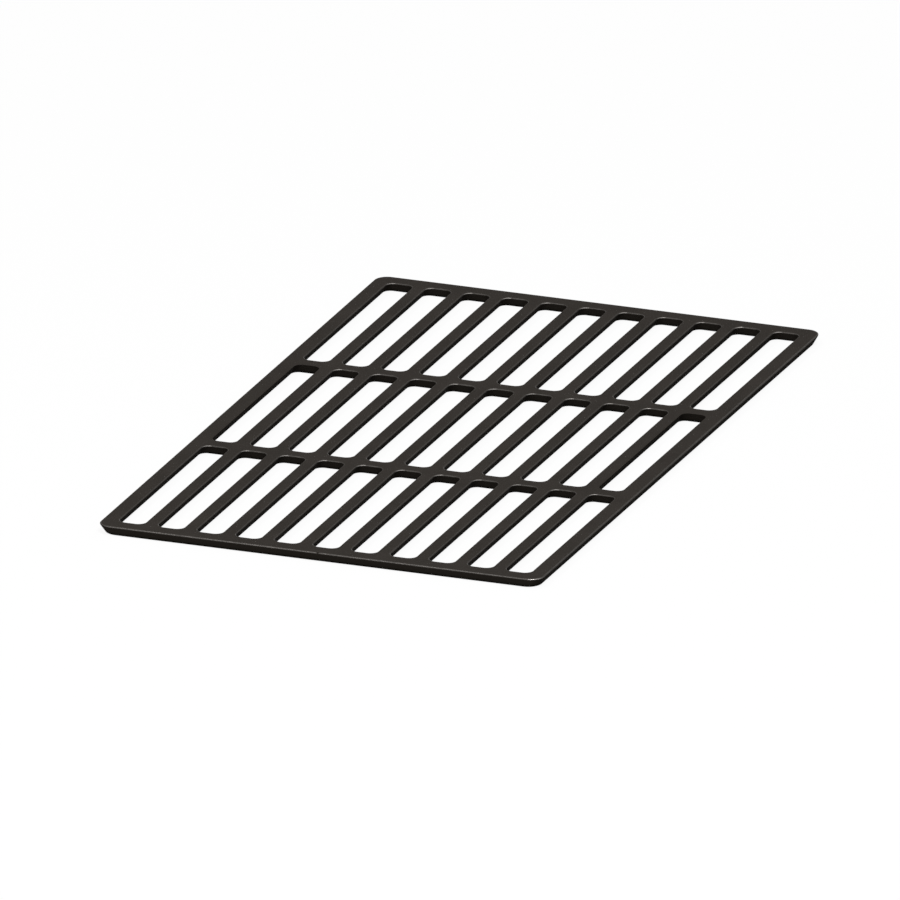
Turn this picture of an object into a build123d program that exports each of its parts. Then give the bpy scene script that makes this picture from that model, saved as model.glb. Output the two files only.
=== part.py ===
from build123d import *
import os
from math import atan, degrees

# Cooking grate of a grill: one flat iron casting, pierced by rows of long slots.
# The bars run along Y and lie side by side along X, tied together by cross rails.
# Every wall leans in towards the underside, so food meets wide bars, the fat drips
# off narrow feet and the casting leaves its mould.
# The origin is at the middle of the underside, and the cooking face looks up +Z.

# Slots, measured at the cooking face
slot_columns = 11
slot_rows = 3
slot_width = 16.0
slot_length = 147.6
slot_corner_radius = 5.4

# Solid members between and around the slots, measured at the cooking face
bar_width = 9.0
cross_rail_width = 10.0
side_rail_width = 10.85
end_rail_width = 11.55

# The casting, with the distance that each wall leans in between its two faces
thickness = 6.2
wall_lean = 3.1
outer_corner_radius = 9.7

# Eased edges of the cooking face
slot_mouth_bevel = 0.9
rim_fillet = 0.75

# Pinhole left by the casting, at the middle of the front rim
pinhole_radius = 0.7
pinhole_setback = 0.9

# Sizes that follow from the ones above
column_pitch = slot_width + bar_width
row_pitch = slot_length + cross_rail_width
overall_width = slot_columns * column_pitch - bar_width + 2 * side_rail_width
overall_length = slot_rows * row_pitch - cross_rail_width + 2 * end_rail_width
draft_angle = degrees(atan(wall_lean / thickness))
end_column_x = column_pitch * (slot_columns - 1) / 2
middle_row_y = row_pitch * (slot_rows // 2 - (slot_rows - 1) / 2)


def has_eased_mouth(edge):
    """Every slot has an eased mouth, except the two at the ends of the middle row."""
    place = edge.center()
    in_middle_row = abs(place.Y - middle_row_y) < row_pitch / 2
    in_end_column = abs(place.X) > end_column_x - column_pitch / 2
    return not (in_middle_row and in_end_column)


with BuildPart() as grate:
    # Blank with leaning sides: the cooking face keeps the full size
    cooking_plane = Plane.XY.offset(thickness)
    with BuildSketch(cooking_plane):
        Rectangle(overall_width, overall_length)
    extrude(amount=-thickness)
    sides = grate.faces().filter_by(Axis.Z, reverse=True)
    draft(sides, cooking_plane, -draft_angle)
    leaning_corners = grate.edges().group_by(Axis.Z)[1]
    fillet(leaning_corners, outer_corner_radius)

    # Slots, widest at the underside and narrowing to their mouths in the cooking face
    with BuildSketch():
        with GridLocations(column_pitch, row_pitch, slot_columns, slot_rows):
            Rectangle(slot_width + 2 * wall_lean, slot_length + 2 * wall_lean)
    extrude(amount=thickness, taper=draft_angle, mode=Mode.SUBTRACT)
    leaning_corners = grate.edges(Select.LAST).group_by(Axis.Z)[1]
    fillet(leaning_corners, slot_corner_radius)

    # Eased edges: the rim is rounded, and the mouths of the slots are bevelled
    cooking_face = grate.faces().sort_by(Axis.Z)[-1]
    fillet(cooking_face.outer_wire().edges(), rim_fillet)
    cooking_face = grate.faces().sort_by(Axis.Z)[-1]
    mouths = cooking_face.inner_wires().edges().filter_by(has_eased_mouth)
    chamfer(mouths, slot_mouth_bevel)

    # Pinhole in the front rim
    with Locations((0, pinhole_setback - overall_length / 2, thickness)):
        Sphere(pinhole_radius, mode=Mode.SUBTRACT)

os.makedirs("parts", exist_ok=True)
grate.part.label = "grate"
export_step(grate.part, "parts/grate.step")
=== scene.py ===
from math import atan, atan2, copysign, cos, hypot, radians, sin, sqrt, tan

import bmesh
import bpy
from mathutils import Matrix, Vector


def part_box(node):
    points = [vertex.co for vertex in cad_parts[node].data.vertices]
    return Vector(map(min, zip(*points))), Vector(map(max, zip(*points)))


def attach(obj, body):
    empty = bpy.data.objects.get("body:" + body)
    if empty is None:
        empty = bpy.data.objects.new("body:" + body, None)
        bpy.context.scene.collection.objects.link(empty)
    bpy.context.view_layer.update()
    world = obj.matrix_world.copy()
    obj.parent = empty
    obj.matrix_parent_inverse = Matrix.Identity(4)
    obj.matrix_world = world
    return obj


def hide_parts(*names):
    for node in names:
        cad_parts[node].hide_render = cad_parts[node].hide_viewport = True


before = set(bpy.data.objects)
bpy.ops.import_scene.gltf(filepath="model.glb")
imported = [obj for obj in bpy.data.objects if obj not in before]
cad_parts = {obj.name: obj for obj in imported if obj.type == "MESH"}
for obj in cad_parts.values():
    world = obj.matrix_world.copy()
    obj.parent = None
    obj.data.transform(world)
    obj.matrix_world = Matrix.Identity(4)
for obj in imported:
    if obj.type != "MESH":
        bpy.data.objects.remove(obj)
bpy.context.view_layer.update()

# Sizes of the casting, in metres, measured at the cooking face
slot_columns = 11
slot_rows = 3
slot_width = 0.016
slot_length = 0.1476
slot_corner = 0.0048
bar_width = 0.009
cross_rail_width = 0.010
wall_lean = 0.0031
rim_corner = 0.0087
rim_inset = 0.0004  # what rounding takes off each side of the rim

# Rounded edges, how far those of the cooking face are rubbed bare and given painted highlight, and the flat
# land beside them
mouth_radius = 0.00065
# How far each edge is rubbed also sets how strong its painted highlight is
mouth_wear_and_highlight = 0.75
rim_radius = 0.00075
rim_wear_and_highlight = 1.0
foot_radius = 0.0008
face_land = 0.0022
foot_land = 0.0011

# How finely round forms are divided, and how close counts as touching
corner_steps = 8
face_edge_steps = 6
foot_edge_steps = 3
crease_angle = radians(35)
level_tolerance = 0.000001
cut_tolerance = 0.00002

# Pinhole in the front rim, pressed into a net of small faces
pinhole_radius = 0.0007
pinhole_setback = 0.0009
net_pace = pinhole_radius / 5.5
net_paces = 6

# Sizes that follow from the ones above and from the frame
low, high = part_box("grate")
thickness = high.z - low.z
column_pitch = slot_width + bar_width
row_pitch = slot_length + cross_rail_width
lean_angle = atan(wall_lean / thickness)
face_edge_angle = radians(90) - lean_angle
foot_edge_angle = radians(90) + lean_angle
rim_width = high.x - low.x + 2 * rim_inset
rim_length = high.y - low.y + 2 * rim_inset

# Colours of the iron, with painted shade for the walls and foot, and painted highlight and glint for the
# rubbed edges
face_dark = (0.0302, 0.0266, 0.0232, 1)
face_light = (0.0383, 0.0334, 0.0293, 1)
# Painted shade: the walls and the foot are coloured darker than the cooking face where they turn away from the
# light
end_wall_painted_shade = (0.0258, 0.0218, 0.0178, 1)
side_wall_painted_shade = (0.0105, 0.0088, 0.0072, 1)
foot_painted_shade = (0.004, 0.0034, 0.0028, 1)
# Painted highlight on the rubbed edges, and a brighter painted glint on corners that face right
burnished_metal_and_highlight = (0.08, 0.075, 0.07, 1)
painted_glint_colour = (0.34, 0.323, 0.306, 1)

# Finish of the iron: how fine its noise is, how rough and shiny it is, and the depth of its skin
grain_scale = 1100
swell_scale = 150
patch_scale = 38
scrape_scale = 240
wall_roughness = 1.0
face_roughness = 0.88
bare_roughness = 0.22
bare_metallic = 0.7
seasoned_gloss = 0.02
skin_strength = 0.8
skin_depth = 0.0005
skin_left_on_bare = 0.3

# The photograph's parallel view, and where the middle of the cooking face lies in it
view_azimuth = radians(20.704)
view_elevation = radians(19.462)
view_width = 0.54446
face_right_of_aim = 0.00556
face_above_aim = 0.01339
camera_distance = 2.0

# The studio
white = (1, 1, 1, 1)
floor_gap = 0.0002
floor_reach = 12.0
floor_throws_back = (0.5, 0.5, 0.5, 1)
floor_in_shade = (0.95, 0.95, 0.95, 1)
floor_glow = 0.92
room_light = 0.3
key_softbox = {"place": (1.845, -2.635, 5.54), "width": 2.2, "length": 1.8, "watts": 272.0}
strip_softbox = {"place": (-2.14, -2.56, 5.46), "width": 1.2, "length": 4.6, "watts": 88.0}


def loop_between(verts):
    """The edges that join these vertices to one another."""
    chosen = set(verts)
    nearby = dict.fromkeys(e for v in verts for e in v.link_edges)
    return [e for e in nearby if chosen.issuperset(e.verts)]


def round_rectangle(bm, centre, width, length, corner):
    """A level, closed loop of edges with round corners."""
    place = Matrix.LocRotScale(centre, None, (width, length, 1))
    plate = bmesh.ops.create_grid(bm, x_segments=1, y_segments=1, size=0.5, matrix=place)["verts"]
    rounded = bmesh.ops.bevel(
        bm, geom=plate, offset=corner, segments=corner_steps, profile=0.5, affect="VERTICES", material=-1
    )
    faces = dict.fromkeys(f for v in rounded["verts"] for f in v.link_faces)
    bmesh.ops.delete(bm, geom=list(faces), context="FACES_ONLY")
    return loop_between(rounded["verts"])


def drag(bm, loop, move):
    """Draws a skin of faces out of a loop of edges, and returns the new loop."""
    drawn = bmesh.ops.extrude_edge_only(bm, edges=loop)["geom"]
    verts = [v for v in drawn if isinstance(v, bmesh.types.BMVert)]
    for vert in verts:
        vert.co += move(vert.co)
    return loop_between(verts)


def lean_out(centre, grow, rise):
    """Moves each quarter of a loop straight away from its centre, so that the corners keep their radius."""
    def move(co):
        return Vector((grow * copysign(1, co.x - centre.x), grow * copysign(1, co.y - centre.y), rise))
    return move


def spread(centre, width, length, corner, grow):
    """Moves a loop sideways by the same distance all round."""
    def move(co):
        hub_x = centre.x + copysign(width / 2 - corner, co.x - centre.x)
        hub_y = centre.y + copysign(length / 2 - corner, co.y - centre.y)
        return Vector((co.x - hub_x, co.y - hub_y, 0)).normalized() * grow
    return move


def round_edge(bm, loop, radius, edge_angle, steps):
    """Rounds a loop of edges and returns the new faces."""
    reach = radius / tan(edge_angle / 2)
    made = bmesh.ops.bevel(
        bm, geom=loop, offset=reach, segments=steps, profile=0.5, affect="EDGES", material=-1
    )
    return made["faces"]


def cast_wall(bm, centre, width, length, corner, outwards, edges):
    """One leaning wall, with a strip of the cooking face and of the underside beside it.

    The edges are a radius at the cooking face, one at the underside and an amount of rubbing with painted
    highlight, or None if sharp.
    """
    mouth = round_rectangle(bm, centre + Vector((0, 0, thickness)), width, length, corner)
    drag(bm, mouth, spread(centre, width, length, corner, outwards * face_land))
    lean = outwards * wall_lean
    foot = drag(bm, mouth, lean_out(centre, lean, -thickness))
    drag(bm, foot, spread(centre, width + 2 * lean, length + 2 * lean, corner, outwards * foot_land))
    if edges:
        face_radius, underside_radius, wear_and_highlight = edges
        # This layer marks rubbing with painted highlight on the rounded edges of the cooking face
        worn_and_highlit = bm.faces.layers.float["worn_and_highlit_edge"]
        for face in round_edge(bm, mouth, face_radius, face_edge_angle, face_edge_steps):
            face[worn_and_highlit] = wear_and_highlight
        round_edge(bm, foot, underside_radius, foot_edge_angle, foot_edge_steps)


def press_pinhole(bm, centre):
    """A small round pit in the front rim, left by a bubble of gas in the iron."""
    net_reach = net_paces * net_pace

    def patch(reach):
        return [
            f for f in bm.faces
            if abs(f.calc_center_median().x - centre.x) < reach
            and all(hypot(v.co.y - centre.y, v.co.z - centre.z) < 2 * pinhole_radius for v in f.verts)
        ]

    def cut(faces, offset, normal):
        parts = dict.fromkeys(part for f in faces for part in (f, *f.edges, *f.verts))
        bmesh.ops.bisect_plane(
            bm, geom=list(parts), dist=cut_tolerance, plane_co=centre + offset, plane_no=normal
        )

    for side in (-net_reach, net_reach):
        front = [f for f in bm.faces if f.calc_center_median().y < centre.y + 2 * wall_lean]
        cut(front, Vector((side, 0, 0)), (1, 0, 0))
    for step in range(1 - net_paces, net_paces):
        cut(patch(net_reach), Vector((step * net_pace, 0, 0)), (1, 0, 0))
    for step in range(-net_paces, net_paces + 1):
        cut(patch(net_reach - net_pace), Vector((0, step * net_pace, 0)), (0, 1, 0))
    worn_and_highlit = bm.faces.layers.float["worn_and_highlit_edge"]
    for vert in dict.fromkeys(v for f in patch(net_reach) for v in f.verts):
        offset = vert.co - centre
        if offset.length < pinhole_radius:
            vert.co.z = centre.z - sqrt(pinhole_radius ** 2 - offset.x ** 2 - offset.y ** 2)
            for face in vert.link_faces:
                face[worn_and_highlit] = 0
    uneven = [f for f in bm.faces if len(f.verts) > 4]
    bmesh.ops.triangulate(bm, faces=uneven, quad_method="BEAUTY", ngon_method="BEAUTY")


def close_face(bm, height):
    """Fills the level face between the strips that lie at this height."""
    rims = [
        e for e in bm.edges
        if e.is_boundary and all(abs(v.co.z - height) < level_tolerance for v in e.verts)
    ]
    bmesh.ops.triangle_fill(bm, use_beauty=True, use_dissolve=False, edges=rims)


def build_grate():
    """The whole casting: a rim, rows of slots, and the two level faces between them."""
    bm = bmesh.new()
    bm.faces.layers.float.new("worn_and_highlit_edge")
    middle = Vector(((low.x + high.x) / 2, (low.y + high.y) / 2, low.z))
    cast_wall(bm, middle, rim_width, rim_length, rim_corner, -1, (rim_radius, foot_radius, rim_wear_and_highlight))
    press_pinhole(bm, middle + Vector((0, pinhole_setback - rim_length / 2, thickness)))
    for column in range(slot_columns):
        for row in range(slot_rows):
            across = column_pitch * (column - (slot_columns - 1) / 2)
            along = row_pitch * (row - (slot_rows - 1) / 2)
            # The photograph shows no bright line round the two outer slots of the middle row
            crisp = row == slot_rows // 2 and column in (0, slot_columns - 1)
            edges = None if crisp else (mouth_radius, foot_radius, mouth_wear_and_highlight)
            centre = middle + Vector((across, along, 0))
            cast_wall(bm, centre, slot_width, slot_length, slot_corner, 1, edges)
    close_face(bm, high.z)
    close_face(bm, low.z)
    bmesh.ops.recalc_face_normals(bm, faces=bm.faces)
    mesh = bpy.data.meshes.new("iron_grate")
    bm.to_mesh(mesh)
    bm.free()
    grate = bpy.data.objects.new("iron_grate", mesh)
    bpy.context.scene.collection.objects.link(grate)
    return grate


def node_maker(tree):
    """Returns a function that adds a node, sets its sockets and links its inputs."""
    def add(kind, inputs=(), **settings):
        node = tree.nodes.new(kind)
        for name, value in settings.items():
            setattr(node, name, value)
        for name, value in dict(inputs).items():
            if isinstance(value, bpy.types.NodeSocket):
                tree.links.new(value, node.inputs[name])
            else:
                node.inputs[name].default_value = value
        return node
    return add


def calculate(add, operation, *values):
    """The result of one step of arithmetic."""
    return add("ShaderNodeMath", dict(enumerate(values)), operation=operation).outputs["Value"]


def times(add, *values):
    """The product of two or more values."""
    product = values[0]
    for value in values[1:]:
        product = calculate(add, "MULTIPLY", product, value)
    return product


def remap(add, value, from_min, from_max, to_min=0.0, to_max=1.0):
    """Stretches part of a value's range over another range, and holds it at the ends."""
    ranges = {"From Min": from_min, "From Max": from_max, "To Min": to_min, "To Max": to_max}
    return add("ShaderNodeMapRange", {"Value": value, **ranges}).outputs["Result"]


def split(add, vector):
    """The three parts of a vector."""
    return add("ShaderNodeSeparateXYZ", {0: vector}).outputs


def mix_colours(add, factor, one, other):
    """One colour, turning into another as the factor rises."""
    return add("ShaderNodeMix", {0: factor, 6: one, 7: other}, data_type="RGBA").outputs[2]


def effect_group(name, inputs, outputs):
    """An empty shader node group with named sockets, and its ends."""
    group = bpy.data.node_groups.new(name, "ShaderNodeTree")
    for socket, kind in inputs.items():
        group.interface.new_socket(socket, in_out="INPUT", socket_type=kind)
    for socket, kind in outputs.items():
        group.interface.new_socket(socket, in_out="OUTPUT", socket_type=kind)
    add = node_maker(group)
    return group, add, add("NodeGroupInput").outputs, add("NodeGroupOutput").inputs


def sand_cast_skin():
    """The skin that a sand mould leaves: fine grains, low swells and cloudy patches."""
    group, add, given, result = effect_group(
        "sand_cast_skin",
        {"Place": "NodeSocketVector", "Grains": "NodeSocketFloat"},
        {"Height": "NodeSocketFloat", "Patches": "NodeSocketFloat"},
    )
    place = given["Place"]
    grains = add("ShaderNodeTexNoise", {"Vector": place, "Scale": given["Grains"], "Detail": 3})
    swells = add("ShaderNodeTexNoise", {"Vector": place, "Scale": swell_scale, "Detail": 2})
    clouds = add("ShaderNodeTexNoise", {"Vector": place, "Scale": patch_scale, "Detail": 6, "Roughness": 0.65})
    group.links.new(calculate(add, "ADD", grains.outputs["Fac"], swells.outputs["Fac"]), result["Height"])
    group.links.new(remap(add, clouds.outputs["Fac"], 0.3, 0.7), result["Patches"])
    return group


def rubbed_edge_and_highlight():
    """Iron rubbed clean on the upper part of an edge, most on edges across the bars, with painted highlight
    there, and a painted glint on corners that face right.
    """
    group, add, given, result = effect_group(
        "rubbed_edge_and_highlight",
        {"Place": "NodeSocketVector", "Facing": "NodeSocketVector", "Edge": "NodeSocketFloat"},
        {"Rubbed_and_highlit": "NodeSocketFloat", "Painted_glint": "NodeSocketFloat"},
    )
    misses = add("ShaderNodeTexNoise", {"Vector": given["Place"], "Scale": scrape_scale, "Detail": 3})
    rubbed = remap(add, misses.outputs["Fac"], 0.3, 0.6, 0.8, 1.0)
    facing = split(add, given["Facing"])
    across_bars = calculate(add, "ABSOLUTE", facing["Y"])

    # Rubbing and painted highlight go lower on edges that face right, and edges that face left get little of
    # them
    lowered = calculate(add, "ADD", facing["Z"], remap(add, facing["X"], 0.0, 1.0, 0.0, 0.35))
    reached = remap(add, lowered, -0.1, 0.3)
    crossed = remap(add, across_bars, 0.0, 0.4, 0.5, 1.0)
    met = remap(add, facing["X"], -0.5, -0.1, 0.2, 1.0)
    group.links.new(times(add, given["Edge"], rubbed, reached, crossed, met), result["Rubbed_and_highlit"])

    # Corners that face right get a painted glint on their upper part
    turned_right = remap(add, facing["X"], 0.04, 0.18)
    turned_along = remap(add, across_bars, 0.12, 0.4)
    turned_up = remap(add, facing["Z"], 0.1, 0.6)
    group.links.new(times(add, turned_right, turned_along, turned_up), result["Painted_glint"])
    return group


def cast_iron():
    """Matt cast iron, blackened by seasoning: a sandy skin, painted shade on the walls, and edges rubbed
    bright by scraping, partly real rubbing and partly painted highlight and glint.
    """
    material = bpy.data.materials.new("seasoned_cast_iron")
    material.use_nodes = True
    tree = material.node_tree
    add = node_maker(tree)
    coordinates = add("ShaderNodeTexCoord").outputs
    place = coordinates["Object"]
    facing = coordinates["Normal"]
    skin = add("ShaderNodeGroup", node_tree=sand_cast_skin())
    tree.links.new(place, skin.inputs["Place"])
    skin.inputs["Grains"].default_value = grain_scale
    rub_and_highlight = add("ShaderNodeGroup", node_tree=rubbed_edge_and_highlight())
    tree.links.new(place, rub_and_highlight.inputs["Place"])
    tree.links.new(facing, rub_and_highlight.inputs["Facing"])
    tree.links.new(add("ShaderNodeAttribute", attribute_name="worn_and_highlit_edge").outputs["Fac"], rub_and_highlight.inputs["Edge"])
    bare_and_highlight = rub_and_highlight.outputs["Rubbed_and_highlit"]

    # Painted shade on the walls, darkest near the foot and on the walls along the bars
    ways = split(add, facing)
    faces_up = remap(add, ways["Z"], -0.2, 0.9)
    side_wall = remap(add, calculate(add, "ABSOLUTE", ways["X"]), 0.3, 0.8)
    above_foot = remap(add, split(add, place)["Z"], 0.0003, 0.0022)
    painted_shade = mix_colours(add, side_wall, end_wall_painted_shade, side_wall_painted_shade)
    painted_shade = mix_colours(add, above_foot, foot_painted_shade, painted_shade)

    face = mix_colours(add, skin.outputs["Patches"], face_dark, face_light)
    # Painted shade: surfaces that turn away from the top take the dark wall colours instead of the face's
    iron_with_painted_shade = mix_colours(add, faces_up, painted_shade, face)
    # Painted glint on corners that face right, over the colour of the rubbed edges
    metal_and_glint = mix_colours(add, rub_and_highlight.outputs["Painted_glint"], burnished_metal_and_highlight, painted_glint_colour)
    colour = mix_colours(add, bare_and_highlight, iron_with_painted_shade, metal_and_glint)
    dull = remap(add, faces_up, 0, 1, wall_roughness, face_roughness)
    roughness = add("ShaderNodeMix", {0: bare_and_highlight, 2: dull, 3: bare_roughness}).outputs[0]
    relief = times(add, skin.outputs["Height"], remap(add, bare_and_highlight, 0, 1, 1.0, skin_left_on_bare))
    bump = add("ShaderNodeBump", {"Strength": skin_strength, "Distance": skin_depth, "Height": relief})

    shader = tree.nodes["Principled BSDF"]
    shader.inputs["Specular IOR Level"].default_value = seasoned_gloss
    tree.links.new(colour, shader.inputs["Base Color"])
    tree.links.new(roughness, shader.inputs["Roughness"])
    tree.links.new(times(add, bare_and_highlight, bare_metallic), shader.inputs["Metallic"])
    tree.links.new(bump.outputs["Normal"], shader.inputs["Normal"])
    return material


def seen_rays(add):
    """A mask of the rays that see the background: from the camera, or sent on by gloss or glass."""
    path = add("ShaderNodeLightPath").outputs
    seen = calculate(add, "MAXIMUM", path["Is Camera Ray"], path["Is Glossy Ray"])
    return calculate(add, "MAXIMUM", seen, path["Is Transmission Ray"])


def pale_floor():
    """White where it is seen, with a faint shadow, and a plain grey for the light that it throws back."""
    material = bpy.data.materials.new("pale_floor")
    material.use_nodes = True
    tree = material.node_tree
    add = node_maker(tree)
    tree.nodes.remove(tree.nodes["Principled BSDF"])
    grey = add("ShaderNodeBsdfDiffuse", {"Color": floor_throws_back}).outputs["BSDF"]
    shaded = add("ShaderNodeBsdfDiffuse", {"Color": floor_in_shade}).outputs["BSDF"]
    glow = add("ShaderNodeEmission", {"Color": white, "Strength": 1}).outputs["Emission"]
    bright = add("ShaderNodeMixShader", {0: floor_glow, 1: shaded, 2: glow}).outputs["Shader"]
    surface = add("ShaderNodeMixShader", {0: seen_rays(add), 1: grey, 2: bright})
    tree.links.new(surface.outputs["Shader"], tree.nodes["Material Output"].inputs["Surface"])
    return material


def lay_floor():
    """A wide floor just under the grate."""
    bm = bmesh.new()
    level = Matrix.Translation((0, 0, low.z - floor_gap))
    bmesh.ops.create_grid(bm, x_segments=1, y_segments=1, size=floor_reach, matrix=level)
    mesh = bpy.data.meshes.new("floor")
    bm.to_mesh(mesh)
    bm.free()
    mesh.materials.append(pale_floor())
    floor = bpy.data.objects.new("floor", mesh)
    bpy.context.scene.collection.objects.link(floor)


def white_room():
    """The world: white where it is seen, with dim light of its own."""
    world = bpy.data.worlds.new("white_room")
    world.use_nodes = True
    tree = world.node_tree
    add = node_maker(tree)
    dim = tree.nodes["Background"]
    dim.inputs["Color"].default_value = white
    dim.inputs["Strength"].default_value = room_light
    bright = add("ShaderNodeBackground", {"Color": white, "Strength": 1})
    surface = add("ShaderNodeMixShader", {0: seen_rays(add), 1: dim.outputs[0], 2: bright.outputs[0]})
    tree.links.new(surface.outputs["Shader"], tree.nodes["World Output"].inputs["Surface"])
    bpy.context.scene.world = world


def hang_softbox(name, place, width, length, watts):
    """A soft lamp above the grate, turned to face it, with its length along the bars."""
    lamp = bpy.data.lights.new(name, "AREA")
    lamp.shape = "RECTANGLE"
    lamp.size = width
    lamp.size_y = length
    lamp.energy = watts
    softbox = bpy.data.objects.new(name, lamp)
    softbox.location = place
    x, y, z = place
    softbox.rotation_euler = (atan2(-y, hypot(x, z)), atan2(x, z), 0)
    bpy.context.scene.collection.objects.link(softbox)


def place_camera():
    """The photograph's view: parallel, from the front right and above."""
    right = Vector((cos(view_azimuth), sin(view_azimuth), 0))
    back = Vector((
        sin(view_azimuth) * cos(view_elevation),
        -cos(view_azimuth) * cos(view_elevation),
        sin(view_elevation),
    ))
    up = back.cross(right)
    face_centre = Vector(((low.x + high.x) / 2, (low.y + high.y) / 2, high.z))
    aim = face_centre - right * face_right_of_aim - up * face_above_aim
    camera = bpy.data.objects.new("camera", bpy.data.cameras.new("camera"))
    camera.data.type = "ORTHO"
    camera.data.ortho_scale = view_width
    camera.location = aim + back * camera_distance
    camera.rotation_mode = "QUATERNION"
    camera.rotation_quaternion = (-back).to_track_quat("-Z", "Y")
    bpy.context.scene.collection.objects.link(camera)
    bpy.context.scene.camera = camera


grate = build_grate()
grate.data.shade_smooth()
grate.data.set_sharp_from_angle(angle=crease_angle)
grate.data.materials.append(cast_iron())
flats = grate.modifiers.new("flat_faces_stay_flat", "WEIGHTED_NORMAL")
flats.keep_sharp = True
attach(grate, "root")
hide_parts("grate")

lay_floor()
white_room()
hang_softbox("key_softbox", **key_softbox)
hang_softbox("strip_softbox", **strip_softbox)
place_camera()
bpy.context.scene.view_settings.view_transform = "Standard"
